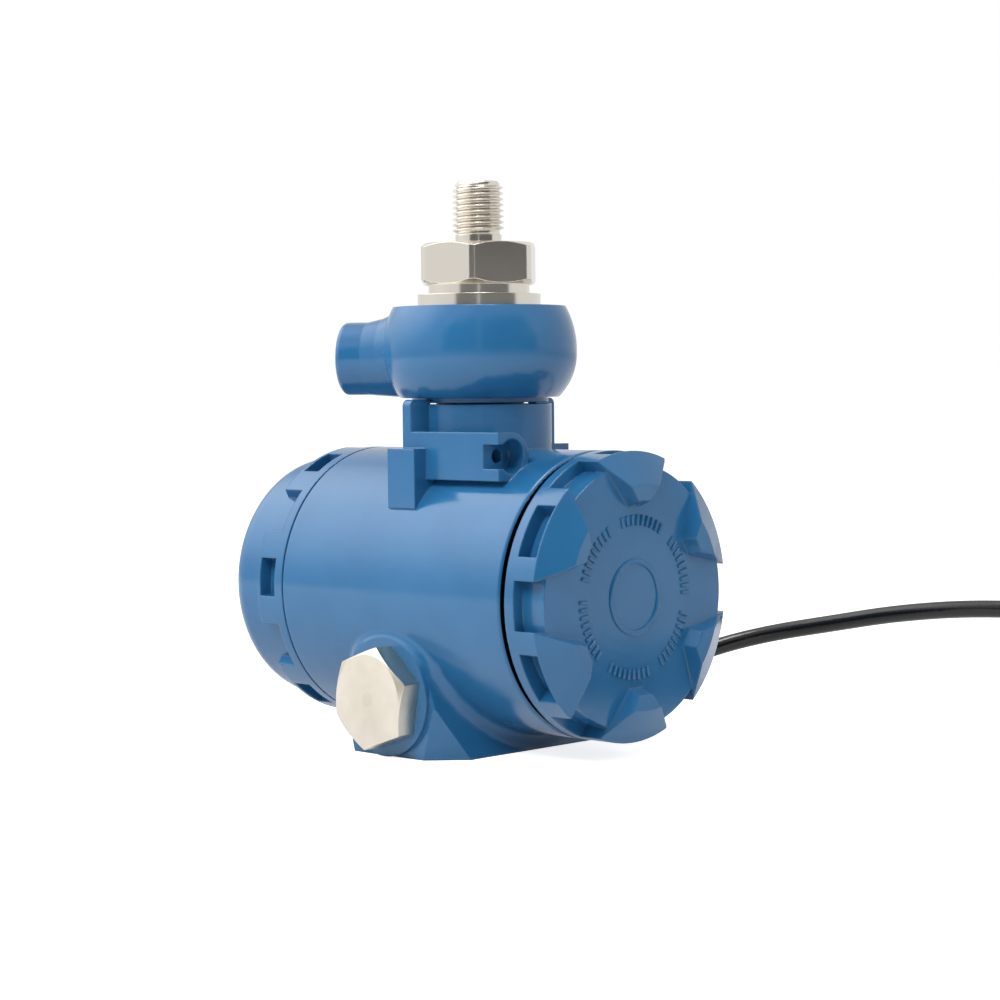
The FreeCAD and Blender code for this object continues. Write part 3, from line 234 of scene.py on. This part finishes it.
cable_radius = 0.0023
route = [(50.2, 0, 14.3), (64.2, 0.0, 14.3), (78.2, -1.0, 14.1), (89.9, -6.7, 17.5), (98.2, -16.6, 20.4),
         (103.6, -30.6, 23.1), (108.2, -48.0, 26.5), (112.7, -67.5, 28.7), (118.6, -86.6, 28.9),
         (125.9, -103.1, 20.6), (133.0, -116.3, 11.2), (136.7, -127.7, 4.9)]
coil_centre = Vector((104.3, -137.0))
rings = (33.3, 28.6, 23.9, 19.2)
steps_a_turn = 16
outward = 1 / math.cos(math.pi / steps_a_turn)
turns = []
for ring_number in range(4):
    for step in range(steps_a_turn):
        moving = min(max((step - 11) / 3, 0.0), 1.0)
        following = rings[min(ring_number + 1, 3)]
        radius = rings[ring_number] * (1 - moving) + following * moving
        height = 2.35 + (4.7 * max((step - 12) / 4, 0.0) if ring_number == 3 else 0.0)
        turns.append((step, radius, height))
for ring_number in (3, 2, 1):
    for step in range(steps_a_turn):
        moving = min(max((step - 11) / 3, 0.0), 1.0)
        following = rings[max(ring_number - 1, 1)]
        radius = rings[ring_number] * (1 - moving) + following * moving
        turns.append((step, radius, 7.05))
for step, radius, height in turns:
    angle = -2 * math.pi * (step + 0.5) / steps_a_turn
    around = coil_centre + Vector((math.cos(angle), math.sin(angle))) * radius * outward
    route.append((around.x, around.y, height))
route += [(132.9, -142.7, 7.0), (130.0, -154.2, 7.1), (122.7, -164.6, 7.2), (111.0, -170.9, 7.2),
          (98.5, -170.9, 7.0), (91.0, -170.6, 4.6), (83.0, -169.6, 2.3), (74.5, -168.2, 2.3)]
line = bpy.data.curves.new("cable", "CURVE")
line.dimensions = "3D"
spline = line.splines.new("NURBS")
spline.points.add(len(route) - 1)
for point, (across, along, height) in zip(spline.points, route):
    point.co = (across / 1000, along / 1000, height / 1000, 1.0)
spline.order_u = 3
spline.use_endpoint_u = True
spline.resolution_u = 6
line.bevel_depth = cable_radius
line.bevel_resolution = 6
line.use_fill_caps = True
cable = bpy.data.objects.new("cable_run", line)
scene.collection.objects.link(cable)
jacket, shader, place = material("cable_jacket", ink(12, 12, 13), 0.25)
feed(shader, "Roughness", noise(place, 900.0, 3.0) * 0.12 + 0.16)
feed(shader, "Normal", bumped(noise(place, 500.0), 0.00006))
line.materials.append(jacket)
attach(cable, "base")
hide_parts("cable", "cable_coil", "cable_lead_out")


def dress(made, *nodes):
    """Give a CAD node's every slot one material."""
    for name in nodes:
        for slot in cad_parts[name].material_slots:
            slot.material = made


dress(jacket, "cable_tail")


# ---------------------------------------------------------------- castings
# Body, covers and sensor head: die-cast aluminium under satin-gloss blue powder paint, with the soft edges of
# a casting. The cut threads are bare metal. The faces inside the front cover's joint are painted near-black
# as painted shade for the shadow in the gap.
paint, shader, place = material("blue_powder_paint", ink(41, 97, 144), 0.2)
drum_height, entry_height = 0.0386, 0.0143
drum_axis, entry_axis = (0.0, 0.0, drum_height), (0.0, 0.0, entry_height)
entry_pitch = 0.0015
joint_front, joint_back = 0.04075, 0.03895


def ribs(place, direction, pitch):
    """A thread's rise and fall along a direction, from -1 to 1."""
    return place.maths("SINE", place.along(tuple(part * 2 * math.pi / pitch for part in direction)))


from_drum = place.from_axis(drum_axis, (1.0, 0.0, 1.0))
from_drum_middle = place.maths("ABSOLUTE", place.along((0.0, 1.0, 0.0)))
from_entries = place.from_axis(entry_axis, (0.0, 1.0, 1.0))
cover_thread = from_drum.between(0.0294, 0.0302, 0.0001) * from_drum_middle.between(0.0225, 0.0392, 0.0003)
entry_thread = from_entries.between(0.0086, 0.0092, 0.0001)
bare = cover_thread.maths("MAXIMUM", cover_thread, entry_thread)
# Painted shade: the faces inside the front cover's joint are mixed to near-black to stand in for the shadow
# in the gap.
joint_shade = place.along((0.0, -1.0, 0.0)).between(joint_back, joint_front, 0.00002)
joint_shade = joint_shade * from_drum.ramped(0.0303, 0.0304)
mottle = noise(place, 60.0, 3.0).ramped(0.3, 0.7)
tint = mottle.mixed(ink(34, 94, 139), ink(39, 100, 146))
# Blue paint tone, with near-black painted shade on the joint's faces.
paint_and_joint_shade = joint_shade.mixed(tint, ink(12, 13, 15))
feed(shader, "Base Color", bare.mixed(paint_and_joint_shade, ink(172, 172, 170)))
feed(shader, "Metallic", bare)
feed(shader, "Roughness", noise(place, 25.0) * 0.08 + 0.13 + bare * 0.2)
soft_edges = place.node("ShaderNodeBevel", {"samples": 6}, {"Radius": 0.0006})
peel = noise(place, 420.0, 1.0)
cuts = ribs(place, (0.0, 1.0, 0.0), 0.0015)
entry_cuts = ribs(place, (1.0, 0.0, 0.0), entry_pitch)
relief = peel * 0.06 + cuts * cover_thread * 0.5 + entry_cuts * entry_thread * 0.5
feed(shader, "Normal", bumped(relief, 0.0004, 1.0, soft_edges))
dress(paint, "housing", "front_cover", "rear_cover", "sensor_housing")


# ---------------------------------------------------------------- front cover marks
# Where a cast cover carries its raised wording, this one has plain raised dashes in a ring and a plain
# raised ring in the middle, cast and painted with the cover.
def finished(name, shape, made, body, sharp=35.0):
    """Make a piece of a bmesh, smooth but for edges that turn by more than sharp degrees."""
    shape.normal_update()
    for face in shape.faces:
        face.smooth = True
    for edge in shape.edges:
        edge.smooth = edge.calc_face_angle(0.0) < math.radians(sharp)
    mesh = bpy.data.meshes.new(name)
    shape.to_mesh(mesh)
    shape.free()
    mesh.materials.append(made)
    piece = bpy.data.objects.new(name, mesh)
    scene.collection.objects.link(piece)
    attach(piece, body)
    return piece


def turned_about(shape, corners, steps=48):
    """Spin a closed outline of (radius, height) about Z."""
    rim = [shape.verts.new((radius, 0.0, height)) for radius, height in corners]
    edges = [shape.edges.new((one, other)) for one, other in zip(rim, rim[1:] + rim[:1])]
    bmesh.ops.spin(shape, geom=rim + edges, cent=(0, 0, 0), axis=(0, 0, 1), dvec=(0, 0, 0),
                   angle=2 * math.pi, steps=steps, use_merge=True, use_normal_flip=False, use_duplicate=False)
    bmesh.ops.recalc_face_normals(shape, faces=shape.faces)


def boxed(shape, size, middle):
    """Add a box to a bmesh; returns its vertices."""
    box = bmesh.ops.create_cube(shape, size=1.0)["verts"]
    bmesh.ops.scale(shape, vec=size, verts=box)
    bmesh.ops.translate(shape, vec=middle, verts=box)
    return box


face_place = -0.0502
mark_height = 0.0005
dash_places, dash_radius = 66, 0.0182
marks = bmesh.new()
turned_about(marks, [(0.0078, -0.0003), (0.0090, -0.0003), (0.0090, 0.0003), (0.0087, mark_height),
                     (0.0081, mark_height), (0.0078, 0.0003)])
for number in range(dash_places):
    if number % 11 > 8:
        continue
    dash = boxed(marks, (0.0026, 0.0008, 0.0003 + mark_height),
                 (dash_radius, 0.0, (mark_height - 0.0003) / 2))
    top_edges = [edge for edge in {edge for vertex in dash for edge in vertex.link_edges}
                 if all(vertex.co.z > 0.9 * mark_height for vertex in edge.verts)]
    bevelled = bmesh.ops.bevel(marks, geom=top_edges, offset=0.0002, offset_type="OFFSET", affect="EDGES",
                               segments=2, profile=0.5, material=-1)
    dash = {vertex for vertex in dash if vertex.is_valid} | set(bevelled["verts"])
    step_round = Matrix.Rotation(math.radians(number * 360 / dash_places), 3, "Z")
    bmesh.ops.rotate(marks, cent=(0, 0, 0), matrix=step_round, verts=list(dash))
facing_front = Matrix(((-1, 0, 0, 0), (0, 0, -1, face_place), (0, -1, 0, drum_height), (0, 0, 0, 1)))
bmesh.ops.transform(marks, matrix=facing_front, verts=marks.verts)
finished("front_cover_marks", marks, paint, "front_lid")


# ---------------------------------------------------------------- seals
# Black nitrile O-rings under the covers, the plug, the gland and the process connection, and the
# gland's rubber sleeve. Each is seated in a groove or a counterbore.
rubber, shader, place = material("nitrile_rubber", ink(24, 24, 25), 0.55)
feed(shader, "Roughness", noise(place, 700.0) * 0.2 + 0.42)
feed(shader, "Normal", bumped(noise(place, 900.0), 0.00005))
dress(rubber, "front_cover_seal", "rear_cover_seal", "connection_seal", "neck_seal", "conduit_plug_seal",
      "gland_seal", "gland_sleeve")


# ---------------------------------------------------------------- process connection
# Turned from stainless hexagon bar. The flange sits on the head's collar, and above the hexagon and a
# short shank is a rolled male thread. It is screwed into the head.
steel, shader, place = material("turned_stainless", ink(226, 220, 210), 0.2, 1.0)
feed(shader, "Roughness", noise(place, 80.0) * 0.06 + 0.14)
soft_edges = place.node("ShaderNodeBevel", {"samples": 6}, {"Radius": 0.00025})
feed(shader, "Normal", soft_edges)

thread_cut, thread_foot, thread_top = 0.1256, 0.1259, 0.1388
bore, shank, root, core = 0.0029, 0.0056, 0.0053, 0.0050
crest_foot, crest_top, pitch = 0.0064, 0.00615, 0.00141
fitting = bmesh.new()
fitting.from_mesh(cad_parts["process_connection"].data)
bmesh.ops.remove_doubles(fitting, verts=fitting.verts, dist=1e-6)
bmesh.ops.bisect_plane(fitting, geom=fitting.verts[:] + fitting.edges[:] + fitting.faces[:], dist=1e-7,
                       plane_co=(0, 0, thread_cut), plane_no=(0, 0, 1), clear_outer=True)
bmesh.ops.bridge_loops(fitting, edges=[edge for edge in fitting.edges if edge.is_boundary])
connection = finished("process_connection_body", fitting, steel, "sensor_head", 28.0)
connection.data.attributes.remove(connection.data.attributes["custom_normal"])
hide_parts("process_connection")

threaded_end = bmesh.new()
turned_about(threaded_end, [(bore, thread_cut), (shank, thread_cut), (root, 0.1260), (root, 0.1383),
                            (0.0049, thread_top), (0.0032, thread_top), (bore, 0.1385)], 64)
steps_a_turn, thread_turns = 40, 9
ridge = [threaded_end.verts.new((radius, 0.0, thread_foot - pitch * 0.3 + rise * pitch))
         for radius, rise in ((core, 0.0), (crest_foot, 0.44), (crest_foot, 0.54), (core, 0.98))]
sides = [threaded_end.edges.new((one, other)) for one, other in zip(ridge, ridge[1:] + ridge[:1])]
turned_part = set(threaded_end.verts) - set(ridge)
bmesh.ops.spin(threaded_end, geom=ridge + sides, cent=(0, 0, 0), axis=(0, 0, 1),
               dvec=(0, 0, pitch / steps_a_turn), angle=2 * math.pi * thread_turns,
               steps=steps_a_turn * thread_turns, use_merge=False, use_normal_flip=False, use_duplicate=False)
for vertex in set(threaded_end.verts) - turned_part:
    radius = math.hypot(vertex.co.x, vertex.co.y)
    taper = (vertex.co.z - thread_foot) / (thread_top - thread_foot)
    crest = crest_foot + (crest_top - crest_foot) * taper
    run_in = core + max(vertex.co.z - thread_foot + 0.0004, 0.0) * 1.2
    run_out = core - 0.0002 + max(thread_top - vertex.co.z, 0.0) * 1.1
    allowed = min(crest, run_in, run_out)
    if radius > allowed:
        vertex.co.x *= allowed / radius
        vertex.co.y *= allowed / radius
    vertex.co.z = min(vertex.co.z, thread_top - 0.0001)
open_edges = [edge for edge in threaded_end.edges if edge.is_boundary]
bmesh.ops.holes_fill(threaded_end, edges=open_edges, sides=0)
bmesh.ops.recalc_face_normals(threaded_end, faces=threaded_end.faces)
finished("process_thread", threaded_end, steel, "sensor_head", 40.0)

dress(steel, "sensor_capsule")


# ---------------------------------------------------------------- conduit plug
# Stainless hexagon plug, faced and chamfered on a lathe, which closes the unused entry.
def faced(place):
    """Distance from the entries' axis, and the fine rings that a lathe leaves on a faced end."""
    from_centre = place.from_axis(entry_axis, (0.0, 1.0, 1.0))
    rings = {"W": from_centre, "Scale": 5000.0}
    return from_centre, place.node("ShaderNodeTexNoise", {"noise_dimensions": "1D"}, rings)


stub_end, stub_start = 0.0334, 0.0336
plug_steel, shader, place = material("faced_stainless", ink(206, 199, 185), 0.3, 1.0)
from_centre, facing_lines = faced(place)
centre_mark = from_centre.between(0.0, 0.0012, 0.0008)
on_stub = place.along((-1.0, 0.0, 0.0)).ramped(stub_start, stub_end)
stub_cuts = ribs(place, (1.0, 0.0, 0.0), entry_pitch) * on_stub
clouds = noise(place, 140.0, 3.0)
stained = clouds.ramped(0.35, 0.75) * 0.5 + centre_mark * 0.3
feed(shader, "Roughness", clouds * 0.12 + 0.26)
feed(shader, "Base Color", stained.mixed(ink(214, 207, 194), ink(192, 184, 168)))
soft_edges = place.node("ShaderNodeBevel", {"samples": 6}, {"Radius": 0.0003})
plug_relief = facing_lines * 0.05 + stub_cuts * 0.4 - centre_mark * 0.12
feed(shader, "Normal", bumped(plug_relief, 0.0003, 1.0, soft_edges))
dress(plug_steel, "conduit_plug")


# ---------------------------------------------------------------- cable gland
# Nickel-plated brass: a hexagon body in the entry and a domed cap that squeezes the rubber sleeve
# through a slip washer.
nickel, shader, place = material("nickel_plate", ink(205, 203, 198), 0.18, 1.0)
feed(shader, "Roughness", noise(place, 200.0) * 0.1 + 0.12)
soft_edges = place.node("ShaderNodeBevel", {"samples": 6}, {"Radius": 0.0003})
from_centre, facing_lines = faced(place)
on_body = place.along((1.0, 0.0, 0.0)).ramped(stub_start, stub_end)
body_cuts = ribs(place, (1.0, 0.0, 0.0), entry_pitch) * on_body
neck_cuts = from_centre.between(0.0070, 0.00745, 0.0001) * ribs(place, (1.0, 0.0, 0.0), 2 * math.pi / 6000.0)
gland_relief = facing_lines * 0.04 + body_cuts * 0.4 + neck_cuts * 0.3
feed(shader, "Normal", bumped(gland_relief, 0.0003, 1.0, soft_edges))
dress(nickel, "gland_body", "gland_cap", "gland_slip_washer")


# ---------------------------------------------------------------- sensor lead
# A silicone-sleeved lead from the measuring cell, with a natural nylon plug on its end.
sleeve, shader, place = material("silicone_sleeve", ink(214, 212, 202), 0.5)
feed(shader, "Roughness", noise(place, 600.0) * 0.15 + 0.42)
feed(shader, "Normal", bumped(noise(place, 700.0), 0.00005))
dress(sleeve, "sensor_lead")
nylon, shader, place = material("natural_nylon", ink(232, 226, 208), 0.4, Subsurface_Weight=0.1)
feed(shader, "Roughness", noise(place, 500.0) * 0.15 + 0.33)
dress(nylon, "sensor_lead_plug")


# ---------------------------------------------------------------- electronics
# A black glass-filled nylon cup, potted, on two lugs in the body. The green board on it has two blue
# trimmers for zero and span, with brass screws, and a few soldered parts.
cup, shader, place = material("potted_cup", ink(30, 30, 32), 0.5)
feed(shader, "Roughness", noise(place, 300.0) * 0.2 + 0.4)
feed(shader, "Normal", bumped(noise(place, 1200.0), 0.00006))
dress(cup, "electronics_module")

laminate, shader, place = material("green_board", ink(18, 92, 52), 0.3, Coat_Weight=0.3)
tracks = place.node("ShaderNodeTexBrick", {"offset": 0.5}, {
    "Vector": place.node("ShaderNodeVectorMath", {"operation": "SCALE"}, {0: place, 3: 300.0}),
    "Mortar Size": 0.05, "Brick Width": 1.6, "Row Height": 0.5}, output=1)
feed(shader, "Base Color", tracks.mixed(ink(18, 92, 52), ink(40, 128, 70)))
feed(shader, "Normal", bumped(tracks, 0.00004))
dress(laminate, "circuit_board")

board_face, resistor_row = -0.0276, drum_height - 0.0115
chips = bmesh.new()
leads = bmesh.new()
for across, rise, wide, high, deep in (
        (0.0, 0.0, 0.0064, 0.0050, 0.0015),
        (-0.0085, -0.006, 0.003, 0.003, 0.0011),
        (0.0085, -0.0055, 0.0042, 0.0032, 0.0013)):
    boxed(chips, (wide, deep, high), (across, board_face - deep / 2 - 0.0002, drum_height + rise))
    for side in (-1, 1):
        for number in range(4):
            lead_place = (across + (number - 1.5) * wide / 4.4, board_face - 0.0001,
                          drum_height + rise + side * (high / 2 + 0.0004))
            boxed(leads, (0.0005, 0.0003, 0.0012), lead_place)
bmesh.ops.bevel(chips, geom=chips.edges[:], offset=0.00015, offset_type="OFFSET", affect="EDGES", segments=2,
                profile=0.5, material=-1)
for number in range(7):
    across = -0.009 + number * 0.003
    boxed(chips, (0.0008, 0.0005, 0.0012), (across, board_face - 0.00025, resistor_row))
    for side in (-1, 1):
        boxed(leads, (0.00084, 0.00054, 0.0004), (across, board_face - 0.00026, resistor_row + side * 0.0007))
chip_case, shader, place = material("chip_case", ink(28, 28, 30), 0.55)
feed(shader, "Roughness", noise(place, 2000.0) * 0.2 + 0.45)
tin, shader, place = material("solder_tin", ink(206, 208, 210), 0.3, 1.0)
feed(shader, "Roughness", noise(place, 1500.0) * 0.2 + 0.22)
finished("board_chips", chips, chip_case, "base")
finished("board_leads", leads, tin, "base")

pot_blue, shader, place = material("trimmer_case", ink(38, 92, 168), 0.4)
feed(shader, "Roughness", noise(place, 900.0) * 0.15 + 0.33)
dress(pot_blue, "zero_trimmer_body", "span_trimmer_body")
brass, shader, place = material("trimmer_brass", ink(206, 168, 96), 0.28, 1.0)
feed(shader, "Roughness", noise(place, 900.0) * 0.2 + 0.2)
dress(brass, "zero_trimmer_screw", "span_trimmer_screw")


# ---------------------------------------------------------------- terminals and screws
# A black phenolic block across the rear lugs. Its clamps, and every screw and washer, are zinc-plated
# steel. The screw that stops the head from turning is black steel.
phenolic, shader, place = material("phenolic_block", ink(26, 25, 25), 0.42)
feed(shader, "Roughness", noise(place, 400.0) * 0.18 + 0.33)
feed(shader, "Normal", bumped(noise(place, 1500.0), 0.00003))
dress(phenolic, "terminal_block")
zinc, shader, place = material("zinc_plate", ink(208, 208, 204), 0.3, 1.0)
stain = noise(place, 250.0, 3.0)
feed(shader, "Roughness", stain * 0.2 + 0.2)
feed(shader, "Base Color", stain.ramped(0.45, 0.7).mixed(ink(210, 210, 206), ink(196, 192, 180)))
soft_edges = place.node("ShaderNodeBevel", {"samples": 4}, {"Radius": 0.00015})
feed(shader, "Normal", bumped(stain, 0.00002, 1.0, soft_edges))
dress(zinc, "terminal_clamps", "terminal_screws", "module_screws", "block_screws", "earth_screw",
      "earth_washer")
black_steel, shader, place = material("blackened_steel", ink(48, 48, 50), 0.4, 1.0)
feed(shader, "Roughness", noise(place, 900.0) * 0.2 + 0.3)
dress(black_steel, "neck_set_screw")


# ---------------------------------------------------------------- cores
# PVC-insulated cores: one red and one blue go to the terminals, and the cable's far end is stripped,
# with tinned ferrules crimped on.
core_red, core_blue = ink(170, 26, 28), ink(32, 66, 150)
for name, colour, node in (("red_core", core_red, "positive_core"),
                           ("blue_core", core_blue, "negative_core")):
    insulation, shader, place = material(name, colour, 0.35)
    feed(shader, "Roughness", noise(place, 700.0) * 0.15 + 0.28)
    dress(insulation, node)
ends, shader, place = material("bared_ends", core_red, 0.35)
cable_end = (0.0745, -0.1682, 0.0023)
along_end = place.node("ShaderNodeVectorMath", {"operation": "SUBTRACT"}, {0: place, 1: cable_end})
heading_end = Vector((-8.5, 1.4, 0.0)).normalized()
ferrule = along_end.along(tuple(heading_end)).ramped(0.0079, 0.0081)
red_side = along_end.along((heading_end.y, -heading_end.x, 0.0)).ramped(-0.00005, 0.00005)
feed(shader, "Base Color", ferrule.mixed(red_side.mixed(core_blue, core_red), ink(206, 206, 204)))
feed(shader, "Metallic", ferrule)
feed(shader, "Roughness", noise(place, 900.0) * 0.15 + 0.25)
dress(ends, "cable_end_cores")
